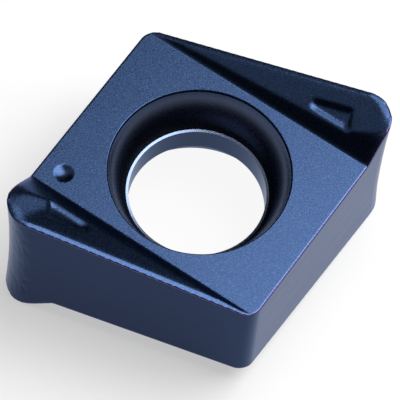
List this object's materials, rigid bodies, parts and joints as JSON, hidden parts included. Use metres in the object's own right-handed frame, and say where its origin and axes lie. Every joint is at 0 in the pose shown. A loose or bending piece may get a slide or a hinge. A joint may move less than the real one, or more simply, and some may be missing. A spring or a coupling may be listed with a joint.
{
  "type": "milling insert",
  "caption": "Double-sided rhombic milling insert in coated carbide, with raised rounded noses, ramped chip faces and a countersunk screw hole.",
  "frame": {"origin": "on the screw hole's axis, in the plane that the two lower noses stand on", "axes": "+Z along the screw hole, +X along the long diagonal towards the nose away from the index mark, +Y towards an obtuse corner"},
  "size_m": [0.0094, 0.0078, 0.0042],
  "materials": {
    "coated_carbide": "satin dark blue hard coating, finely grained"
  },
  "bodies": {
    "root": {"insert": "coated_carbide"}
  },
  "joints": []
}
